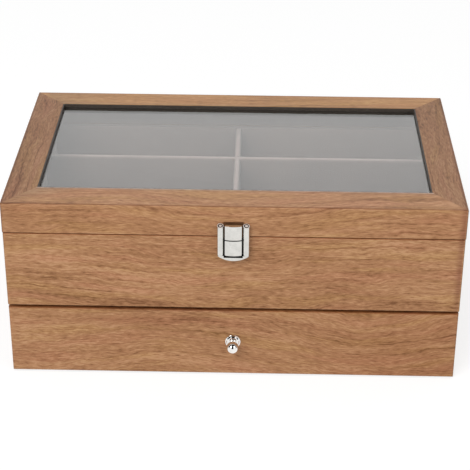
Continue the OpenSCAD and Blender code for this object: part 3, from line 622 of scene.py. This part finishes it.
# Hinges: two small stop hinges, stamped and rolled from bright plated steel. Their leaves are let
# into the edges of the case and the lid, and two wings meet behind to stop the lid.
def eased_copy(name, node, ease, segments):
    """A CAD node's shape with its triangles merged into faces and its sharp edges eased."""
    piece = bpy.data.objects.new(name, nodes[node].data.copy())
    piece.data.name = name
    scene.collection.objects.link(piece)
    same_point, same_face = 0.001 * mm, math.radians(0.5)
    sharp, smooth = math.radians(38), math.radians(32)
    in_edit(piece)
    bpy.ops.mesh.customdata_custom_splitnormals_clear()
    bpy.ops.mesh.remove_doubles(threshold=same_point)
    bpy.ops.mesh.dissolve_limited(angle_limit=same_face)
    out_of_edit()
    apply_to(
        piece, "BEVEL", width=ease, segments=segments, limit_method="ANGLE",
        angle_limit=sharp, miter_outer="MITER_ARC", use_clamp_overlap=True,
    )
    bpy.ops.object.shade_smooth_by_angle(angle=smooth)
    return piece


polish, given, put = new_group(
    "metal_polish",
    [("Vector", "NodeSocketVector", (0, 0, 0)), ("Metal", "NodeSocketColor", (1, 1, 1, 1)),
     ("Dull", "NodeSocketFloat", 0.1)],
    [("Color", "NodeSocketColor"), ("Roughness", "NodeSocketFloat"), ("Height", "NodeSocketFloat")],
)
place = given.outputs["Vector"]
smears = noise(polish, place, (180, 180, 180), 4, 0.6)
scratches = noise(polish, place, (350, 6000, 350), 2, 0.6, (4.0, 0, 0))
shade = ramp(polish, smears, [(0.35, grey(0.90)), (0.65, grey(1.0))])
polish.links.new(mixed(polish, "MULTIPLY", 1.0, given.outputs["Metal"], shade), put.inputs["Color"])
smear_share, scratch_share = 1.1, 0.5
worn = sum_of(polish, "MULTIPLY", scratches, scratch_share)
worn = sum_of(polish, "MULTIPLY_ADD", smears, smear_share, worn)
polish.links.new(sum_of(polish, "MULTIPLY", worn, given.outputs["Dull"]), put.inputs["Roughness"])
polish.links.new(scratches, put.inputs["Height"])
scratch_depth = 0.02 * mm


def metal(name, colour, dull, scratch):
    """Plated or plain metal, with faint smears and polishing scratches."""
    material, tree, shader = new_material(name)
    coordinates = tree.nodes.new("ShaderNodeTexCoord").outputs["Object"]
    surface = grouped(tree, polish, {"Vector": coordinates, "Metal": (*colour, 1), "Dull": dull})
    tree.links.new(surface["Color"], shader.inputs["Base Color"])
    tree.links.new(surface["Roughness"], shader.inputs["Roughness"])
    shader.inputs["Metallic"].default_value = 1.0
    bumped(tree, shader, surface["Height"], scratch, scratch_depth)
    return material


hinge_plate = metal("hinge_plate", (0.70, 0.69, 0.67), 0.24, 0.12)
leaf_ease, pin_ease = 0.18 * mm, 0.4 * mm
for node, body in (
    ("left_hinge_case_leaf", "case"),
    ("right_hinge_case_leaf", "case"),
    ("left_hinge_lid_leaf", "lid"),
    ("right_hinge_lid_leaf", "lid"),
):
    settle(eased_copy(node + "_eased", node, leaf_ease, 2), body, "hinge_metal", hinge_plate, node)
pins = eased_copy("hinge_pins_domed", "hinge_pins", pin_ease, 4)
settle(pins, "case", "hinge_metal", hinge_plate, "hinge_pins")


# Hinge screws: countersunk steel screws with a cross recess, two to a leaf, driven into the edge
# of the wood until their heads lie level with the leaf.
def turned(name, profile, steps):
    """A solid turned about Z from (radius, height) points that start and end on the axis."""
    bpy.ops.object.select_all(action="DESELECT")
    bpy.ops.mesh.primitive_plane_add(size=1.0)
    piece = bpy.context.object
    piece.name = name
    piece.data.name = name
    in_edit(piece)
    bpy.ops.mesh.merge(type="CENTER")
    at = Vector((0, 0, 0))
    for count, (radius, height) in enumerate(profile):
        step = Vector((radius, 0, height)) - at
        if count == 0:
            bpy.ops.transform.translate(value=step)
        else:
            bpy.ops.mesh.extrude_region_move(TRANSFORM_OT_translate={"value": step})
        at += step
    bpy.ops.mesh.select_all(action="SELECT")
    bpy.ops.mesh.spin(steps=steps, angle=2 * math.pi, center=(0, 0, 0), axis=(0, 0, 1))
    bpy.ops.mesh.select_all(action="SELECT")
    bpy.ops.mesh.remove_doubles(threshold=0.002 * mm)
    bpy.ops.mesh.normals_make_consistent(inside=False)
    out_of_edit()
    return piece


screw_steel = metal("screw_steel", (0.62, 0.61, 0.59), 0.35, 0.3)
head_r, shank_r, head_h, screw_len = 2.0 * mm, 1.1 * mm, 0.9 * mm, 9.0 * mm
head_ease, head_rim = 0.1 * mm, 0.08 * mm
screw_profile = [(0, 0), (head_r - head_ease, 0), (head_r, head_rim), (shank_r, head_h)]
thread_pitch, thread_depth, crest_wear = 0.9 * mm, 0.28 * mm, 0.05 * mm
plain_neck, tip_h, plain_ends = 0.6 * mm, 1.4 * mm, 2.2 * mm
turns = int((screw_len - head_h - plain_ends) / thread_pitch)
for turn in range(turns):
    start = head_h + plain_neck + turn * thread_pitch
    screw_profile += [
        (shank_r - thread_depth, start),
        (shank_r - thread_depth, start + 0.35 * thread_pitch),
        (shank_r, start + 0.6 * thread_pitch),
        (shank_r - crest_wear, start + 0.7 * thread_pitch),
    ]
screw_profile += [(0.7 * shank_r, screw_len - tip_h), (0, screw_len)]
screw_spacing = 20 * mm
recess_half, recess_slot, recess_depth = 1.15 * mm, 0.25 * mm, 0.75 * mm
for node, body, points_down in (("case_hinge_screws", "case", True), ("lid_hinge_screws", "lid", False)):
    low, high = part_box(node)
    outer_x = high.x - head_r
    inner_x = outer_x - screw_spacing
    seat = high.z if points_down else low.z
    group_of_four = []
    for x in (-outer_x, -inner_x, inner_x, outer_x):
        screw = turned(f"{node}_{len(group_of_four)}", screw_profile, 24)
        for half_x, half_y in ((recess_half, recess_slot), (recess_slot, recess_half)):
            cut_away(screw, (-half_x, -half_y, -1 * mm), (half_x, half_y, recess_depth))
        twist = Matrix.Rotation(math.radians(17 + 31 * len(group_of_four)), 4, "Z")
        flip = Matrix.Rotation(math.pi if points_down else 0, 4, "X")
        place = Matrix.Translation((x, (low.y + high.y) / 2, seat))
        screw.data.transform(place @ flip @ twist)
        group_of_four.append(screw)
    pick(group_of_four[0])
    for screw in group_of_four:
        screw.select_set(True)
    bpy.ops.object.join()
    screws = bpy.context.object
    screws.name = screws.data.name = f"{node}_cross_head"
    bpy.ops.object.shade_smooth_by_angle(angle=math.radians(35))
    settle(screws, body, "steel", screw_steel, node)


# Latch: a push-button catch pressed from bright nickel-plated steel. The base has a back plate and
# two rolled bars joined by a lip, the catch plate hangs from the lid, and the button is sprung.
nickel = metal("bright_nickel", (0.70, 0.69, 0.655), 0.10, 0.05)
# Dark steel that paints the shade in the latch's gaps and pockets.
painted_shade_steel = metal("painted_shade_steel", (0.045, 0.044, 0.042), 0.5, 0.2)
# Brown steel that paints the shade behind the catch plate.
painted_shade_brown = metal("painted_shade_brown", (0.16, 0.075, 0.036), 0.6, 0.1)
cut_steel = metal("cut_steel", (0.92, 0.91, 0.90), 0.75, 0.1)
base_ease, plate_ease = 0.22 * mm, 0.3 * mm
latch_base = eased_copy("latch_base_eased", "latch_base", base_ease, 3)
settle(latch_base, "case", "bright_nickel", nickel, "latch_base")
# The pocket between the bars and the gaps between the turns of their rolls are painted dark: painted
# shade.
# The rolls' cut ends are bright.
latch_base.data.materials.append(painted_shade_steel)
latch_base.data.materials.append(cut_steel)
low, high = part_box("latch_base")
bar_r, gap_r, core_r = 2.35 * mm, 1.78 * mm, 1.0 * mm
button_low, button_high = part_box("latch_button")
pocket_half = button_high.x + 0.85 * mm
pocket_low = button_low.z - 1.55 * mm
pocket_front = low.y + 0.3 * mm
cut_end = high.z - 2 * mm
for face in latch_base.data.polygons:
    at = face.center
    in_pocket = abs(at.x) < pocket_half and at.z > pocket_low and at.y > pocket_front
    off_axis = math.hypot(abs(at.x) - (high.x - bar_r), at.y - (low.y + bar_r))
    in_roll = core_r < off_axis < gap_r and at.z > button_low.z and face.normal.z < 0.5
    if in_pocket or in_roll:
        face.material_index = 1
    elif at.z > cut_end and face.normal.z > 0.3:
        face.material_index = 2
latch_button = eased_copy("latch_button_eased", "latch_button", plate_ease, 3)
settle(latch_button, "button", "bright_nickel", nickel, "latch_button")
# The button's level faces, in the gaps above and below it, are painted dark: painted shade.
latch_button.data.materials.append(painted_shade_steel)
level_face = 0.95
for face in latch_button.data.polygons:
    if face.normal.z > level_face:
        face.material_index = 1
# The flange behind the catch plate and the plate's sides take a brown painted shade, and the plate's lower
# edge a dark painted shade.
latch_catch = eased_copy("latch_catch_eased", "latch_catch", plate_ease, 3)
settle(latch_catch, "lid", "bright_nickel", nickel, "latch_catch")
latch_catch.data.materials.append(painted_shade_brown)
latch_catch.data.materials.append(painted_shade_steel)
rail_low, rail_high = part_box("lid_front_rail")
plate_half = button_high.x + 0.05 * mm
plate_back = rail_low.y - 0.75 * mm
for face in latch_catch.data.polygons:
    at = face.center
    on_flange = at.y > plate_back and at.z > rail_low.z
    if on_flange or abs(at.x) > plate_half:
        face.material_index = 1
    elif face.normal.z < -level_face:
        face.material_index = 2
dress("latch_spring", screw_steel)


# Lid: four rails mitred at the corners, each with a flange that frames the window. Every rail is
# faced with its own piece of veneer, so the figure changes at the mitres.
window_low, window_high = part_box("window_edging")
joint_w, joint_tint = 2.2 * mm, (0.60, 0.53, 0.54)


def joint_line(axis, edge):
    """The dark line where a rail's top veneer meets its outer one."""
    return (axis, edge, joint_w, joint_tint)


# At their left ends the figure of the front and back rails is darker. Along the window the front rail has
# a pale painted highlight beside a band of painted shade, and the back rail a band of painted shade.
slant = 2
slanted = window_low.x - slant * window_low.y
dark_corner = ((1, -slant, 0), slanted, 45 * mm, (0.80, 0.85, 0.90))
dark_end = (across_x, rail_low.x, 75 * mm, (0.80, 0.84, 0.92))
front_shade = (across_y, window_low.y, 5 * mm, (0.82, 0.88, 0.98))
back_shade = (across_y, window_high.y, 4 * mm, (0.84, 0.92, 1.06))
window_highlight = (across_y, window_low.y, 1.5 * mm, (1.45, 2.1, 3.3))
front_line = joint_line(across_y, rail_low.y)
back_line = joint_line(across_y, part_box("lid_back_rail")[1].y)
front_edges = [front_line, shaded_right_end("lid_front_rail"), dark_corner, front_shade, window_highlight]
back_edges = [back_line, dark_end, back_shade]
glass_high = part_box("lid_glass")[1]
past_glass, over_glass = 0.4 * mm, 0.2 * mm
lid_inside = {
    "Half X": glass_high.x + past_glass,
    "Half Y": glass_high.y + past_glass,
    "Top": glass_high.z + over_glass,
    "Stain": inside_brown,
}
front_tone, back_tone, rail_tone = (1.03, 1.03, 1.03), (1.12, 1.15, 1.01), (0.72, 0.70, 0.71)
dress("lid_front_rail", veneer(
    "veneer_lid_front", across, (-0.01, 0, -0.12), 6.4, front_tone,
    dip=0.008, calm=0.14, edges=front_edges, inside=lid_inside,
))
dress("lid_back_rail", veneer(
    "veneer_lid_back", across, (0, 0, -0.10), 7.9, back_tone,
    calm=0.3, edges=back_edges, inside=lid_inside,
))
for side, figure_z, sheet, outer_x in (
    ("left", -0.14, 8.4, rail_low.x),
    ("right", -0.13, 9.8, rail_high.x),
):
    dress(f"lid_{side}_rail", veneer(
        f"veneer_lid_{side}", lengthways, (0, 0, figure_z), sheet, rail_tone,
        edges=[joint_line(across_x, outer_x)], inside=lid_inside,
    ))


# Banding: one band of satin black edging, glued round the inner edges of the rails down to the
# glass.
banding, tree, shader = new_material("black_banding")
coordinates = tree.nodes.new("ShaderNodeTexCoord").outputs["Object"]
speckle = noise(tree, coordinates, (900, 900, 900), 3)
band_deep, band_light = (0.040, 0.031, 0.025), (0.082, 0.066, 0.054)
band_dull, band_dull_spread, band_gloss = 0.35, 0.3, 0.25
band_bump, band_depth = 0.1, 0.05 * mm
tree.links.new(ramp(tree, speckle, [(0.3, band_deep), (0.7, band_light)]), shader.inputs["Base Color"])
satin = sum_of(tree, "MULTIPLY_ADD", speckle, band_dull_spread, band_dull)
tree.links.new(satin, shader.inputs["Roughness"])
shader.inputs["Specular IOR Level"].default_value = band_gloss
bumped(tree, shader, speckle, band_bump, band_depth)
dress("window_edging", banding)


# Pane: clear float glass, held up against the rails by the beads. Lamps and bounced light pass
# straight through it to the cells.
glass, tree, shader = new_material("float_glass")
coordinates = tree.nodes.new("ShaderNodeTexCoord").outputs["Object"]
smudges = noise(tree, coordinates, (22, 30, 1), 4, 0.6)
pane_tint, passed_tint, pane_ior, smudge_dull = (0.97, 0.985, 0.98, 1), (0.90, 0.92, 0.91, 1), 1.5, 0.03
smudged = ramp(tree, smudges, [(0.55, grey(0.0)), (0.75, grey(1.0))])
tree.links.new(sum_of(tree, "MULTIPLY", smudged, smudge_dull), shader.inputs["Roughness"])
shader.inputs["Base Color"].default_value = pane_tint
shader.inputs["Transmission Weight"].default_value = 1.0
shader.inputs["IOR"].default_value = pane_ior
clear = tree.nodes.new("ShaderNodeBsdfTransparent")
clear.inputs["Color"].default_value = passed_tint
ray = tree.nodes.new("ShaderNodeLightPath")
output = tree.nodes["Material Output"]
surface = shader.outputs[0]
for kind in ("Is Diffuse Ray", "Is Shadow Ray"):
    passed = tree.nodes.new("ShaderNodeMixShader")
    tree.links.new(ray.outputs[kind], passed.inputs[0])
    tree.links.new(surface, passed.inputs[1])
    tree.links.new(clear.outputs[0], passed.inputs[2])
    surface = passed.outputs[0]
tree.links.new(surface, output.inputs["Surface"])
dress("lid_glass", glass)


# Beads: four mitred strips in the same satin black, pinned inside the lid under the glass, which
# they hold up against the rails.
for side in ("front", "back", "left", "right"):
    dress(f"{side}_bead", banding)


# Drawer front: a veneered board, wider than the drawer box behind it, that closes the lower front
# of the case from edge to edge.
front_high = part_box("drawer_front")[1]
# The drawer front is painted darker and redder towards its right end, and darker along its top edge in the
# seam: painted shade.
right_side_shade = (across_x, front_high.x + 20 * mm, 170 * mm, (0.93, 0.88, 0.85))
drawer_top_shade = (across_z, front_high.z + past_edge, 1.2 * mm, (0.66, 0.48, 0.36))
dress("drawer_front", veneer(
    "veneer_drawer_front", across, (-0.10, 0, -0.02), 10.2, dip=0.02, edges=[right_side_shade, drawer_top_shade],
))


# Drawer box: a butt-jointed box of thin stained boards with a bottom panel in a groove. It slides
# on the base between the sides of the case.
for node, board, turn, sheet in (
    ("drawer_inner_front", "front", across, 11.3),
    ("drawer_back", "back", across, 12.7),
    ("drawer_left_side", "left", lengthways, 13.1),
    ("drawer_right_side", "right", lengthways, 14.6),
    ("drawer_bottom", "bottom", across, 15.2),
):
    dress(node, stained(f"stained_drawer_{board}", turn, sheet))


# Drawer cells: the same velvet over thinner card, lined and divided like the upper ones, three rows
# of two, and dropped into the drawer box.
line_cells("drawer_", "drawer")
divide_cells("drawer_", "drawer")


# Knob: turned in one piece, a stepped rosette, a neck and a ball, nickel-plated and polished. A
# screw from inside the drawer holds it.
low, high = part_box("drawer_knob")
rosette_r = (high.x - low.x) / 2
seat_y = high.y
ball_r = 4.5 * mm
ball_at = seat_y - low.y - ball_r
neck_r = 2.4 * mm
rim_h, rim_w, middle_h = 0.6 * mm, 0.7 * mm, 1.5 * mm
slope_r = rosette_r - rim_w
slope = math.radians(50)
middle_r = slope_r - (middle_h - rim_h) / math.tan(slope)
seat_gap, ease, neck_fillet = 0.02 * mm, 0.12 * mm, 0.4 * mm
profile = [
    (0, seat_gap), (rosette_r - ease, seat_gap), (rosette_r, seat_gap + ease),
    (rosette_r, rim_h - ease), (rosette_r - ease, rim_h), (slope_r, rim_h),
]
for share in (0.1, 0.8, 0.9):
    profile.append((slope_r + share * (middle_r - slope_r), rim_h + share * (middle_h - rim_h)))
profile.append((middle_r - ease, middle_h))
fillet_steps, ball_steps, knob_sides = 6, 32, 64
for count in range(fillet_steps + 1):
    turn = count * math.pi / 2 / fillet_steps
    radius = neck_r + neck_fillet * (1 - math.sin(turn))
    profile.append((radius, middle_h + neck_fillet * (1 - math.cos(turn))))
start = math.acos(neck_r / ball_r)
for count in range(ball_steps + 1):
    turn = -start + count * (math.pi / 2 + start) / ball_steps
    profile.append((max(ball_r * math.cos(turn), 0), ball_at + ball_r * math.sin(turn)))
knob = turned("drawer_knob_turned", profile, knob_sides)
place = Matrix.Translation((0, seat_y, (low.z + high.z) / 2))
knob.data.transform(place @ Matrix.Rotation(math.pi / 2, 4, "X"))
pick(knob)
bpy.ops.object.shade_smooth_by_angle(angle=math.radians(40))
polished_nickel = metal("polished_nickel", (0.90, 0.89, 0.87), 0.06, 0.03)
settle(knob, "drawer", "bright_nickel", polished_nickel, "drawer_knob")
dress("knob_screw", screw_steel)


# Floor: a pale studio floor without an edge in sight. The camera, metal and glass see it white,
# with the box's shadow, and it bounces plain light.
bpy.ops.object.select_all(action="DESELECT")
floor_size = 12.0
bounced_grey, seen_grey, seen_glow = (0.75, 0.75, 0.75, 1), (0.32, 0.32, 0.32, 1), 0.74
white = (1, 1, 1, 1)
bpy.ops.mesh.primitive_plane_add(size=floor_size)
floor = bpy.context.object
floor.name = "studio_floor"
paper = bpy.data.materials.new("pale_floor")
paper.use_nodes = True
tree = paper.node_tree
tree.nodes.clear()
ray = tree.nodes.new("ShaderNodeLightPath").outputs


def seen_directly(tree, ray):
    """One for rays from the camera, a reflection or through glass, and nought for the rest."""
    seen = sum_of(tree, "MAXIMUM", ray["Is Camera Ray"], ray["Is Glossy Ray"])
    return sum_of(tree, "MAXIMUM", seen, ray["Is Transmission Ray"])


plain = put_node(tree, "ShaderNodeBsdfDiffuse", {"Color": bounced_grey})
shaded = put_node(tree, "ShaderNodeBsdfDiffuse", {"Color": seen_grey})
glow = put_node(tree, "ShaderNodeEmission", {"Color": white, "Strength": seen_glow})
both = tree.nodes.new("ShaderNodeAddShader")
tree.links.new(shaded.outputs[0], both.inputs[0])
tree.links.new(glow.outputs[0], both.inputs[1])
chosen = tree.nodes.new("ShaderNodeMixShader")
tree.links.new(seen_directly(tree, ray), chosen.inputs[0])
tree.links.new(plain.outputs[0], chosen.inputs[1])
tree.links.new(both.outputs[0], chosen.inputs[2])
tree.links.new(chosen.outputs[0], tree.nodes.new("ShaderNodeOutputMaterial").inputs["Surface"])
floor.data.materials.append(paper)


# Light: a white tent all round, a wide soft box above the front left and a weaker one from the
# right.
world = bpy.data.worlds.new("white_tent")
scene.world = world
world.use_nodes = True
tree = world.node_tree
ray = tree.nodes.new("ShaderNodeLightPath").outputs
tent = tree.nodes["Background"]
tent.inputs["Color"].default_value = white
tent_light, tent_seen = 0.55, 1.0
brightness = sum_of(tree, "MULTIPLY_ADD", seen_directly(tree, ray), tent_seen - tent_light, tent_light)
tree.links.new(brightness, tent.inputs["Strength"])


def soft_box(name, at, aim, size, watts):
    """A square soft box that points at the object."""
    lamp = bpy.data.lights.new(name, "AREA")
    lamp.shape = "SQUARE"
    lamp.size = size
    lamp.energy = watts
    box = bpy.data.objects.new(name, lamp)
    scene.collection.objects.link(box)
    box.location = at
    box.rotation_euler = (Vector(aim) - Vector(at)).to_track_quat("-Z", "Y").to_euler()


box_middle = (0, 0, 0.08)
soft_box("key_box", (-0.8, -1.5, 1.7), box_middle, 1.4, 29.0)
soft_box("fill_box", (1.3, -1.1, 1.2), box_middle, 1.2, 5.0)


# Cards: seen only in reflections. A bright one beyond the box hazes the glass. A dark strip over the
# camera, and a dark arch over the box in line with its front, give the polished metal its core.
def card(name, at, aim, width, height, strength):
    """A glowing card that only reflections see."""
    bpy.ops.object.select_all(action="DESELECT")
    bpy.ops.mesh.primitive_plane_add(size=1.0)
    panel = bpy.context.object
    panel.name = name
    panel.scale = (width, height, 1)
    panel.location = at
    panel.rotation_euler = (Vector(aim) - Vector(at)).to_track_quat("Z", "Y").to_euler()
    skin = bpy.data.materials.new(name)
    skin.use_nodes = True
    skin.node_tree.nodes.clear()
    light = put_node(skin.node_tree, "ShaderNodeEmission", {"Color": white, "Strength": strength})
    output = skin.node_tree.nodes.new("ShaderNodeOutputMaterial")
    skin.node_tree.links.new(light.outputs[0], output.inputs["Surface"])
    panel.data.materials.append(skin)
    for rays in ("camera", "diffuse", "transmission", "volume_scatter", "shadow"):
        setattr(panel, "visible_" + rays, False)


haze_glow, dark_glow = 1.6, 0.02
card("haze_card", (0, 2.0, 1.1), (0, 0, 0.138), 1.5, 0.8, haze_glow)
knob_z = 0.03
strip_r, strip_y, strip_cards = 1.4, -0.1, 4
for steps in range(strip_cards):
    rise = math.radians(10 + 19 * steps)
    at = (0, strip_y - strip_r * math.cos(rise), knob_z + strip_r * math.sin(rise))
    card(f"core_{steps}", at, (0, strip_y, knob_z), 0.85, 0.5, dark_glow)
arch_r, arch_y, arch_cards = 2, -0.6, 8
for steps in range(arch_cards):
    rise = math.radians(16 + 148 / (arch_cards - 1) * steps)
    at = (arch_r * math.cos(rise), arch_y, knob_z + arch_r * math.sin(rise))
    card(f"arch_{steps}", at, (0, arch_y, knob_z), 1.0, 0.8, dark_glow)


# Camera: at the photograph's place, fitted to the straight edges of the box, with a long lens and a
# very slight roll.
lens = bpy.data.cameras.new("camera")
lens.sensor_fit = "HORIZONTAL"
lens.sensor_width = 36.0
lens.lens = 112.37
camera = bpy.data.objects.new("camera", lens)
scene.collection.objects.link(camera)
yaw, pitch, roll = math.radians(-1.15), math.radians(28.48), math.radians(0.36)
camera.matrix_world = (
    Matrix.Translation((0.0195, -1.016, 0.6159))
    @ Matrix.Rotation(-yaw, 4, "Z")
    @ Matrix.Rotation(math.pi / 2 - pitch, 4, "X")
    @ Matrix.Rotation(roll, 4, "Z")
)
scene.camera = camera
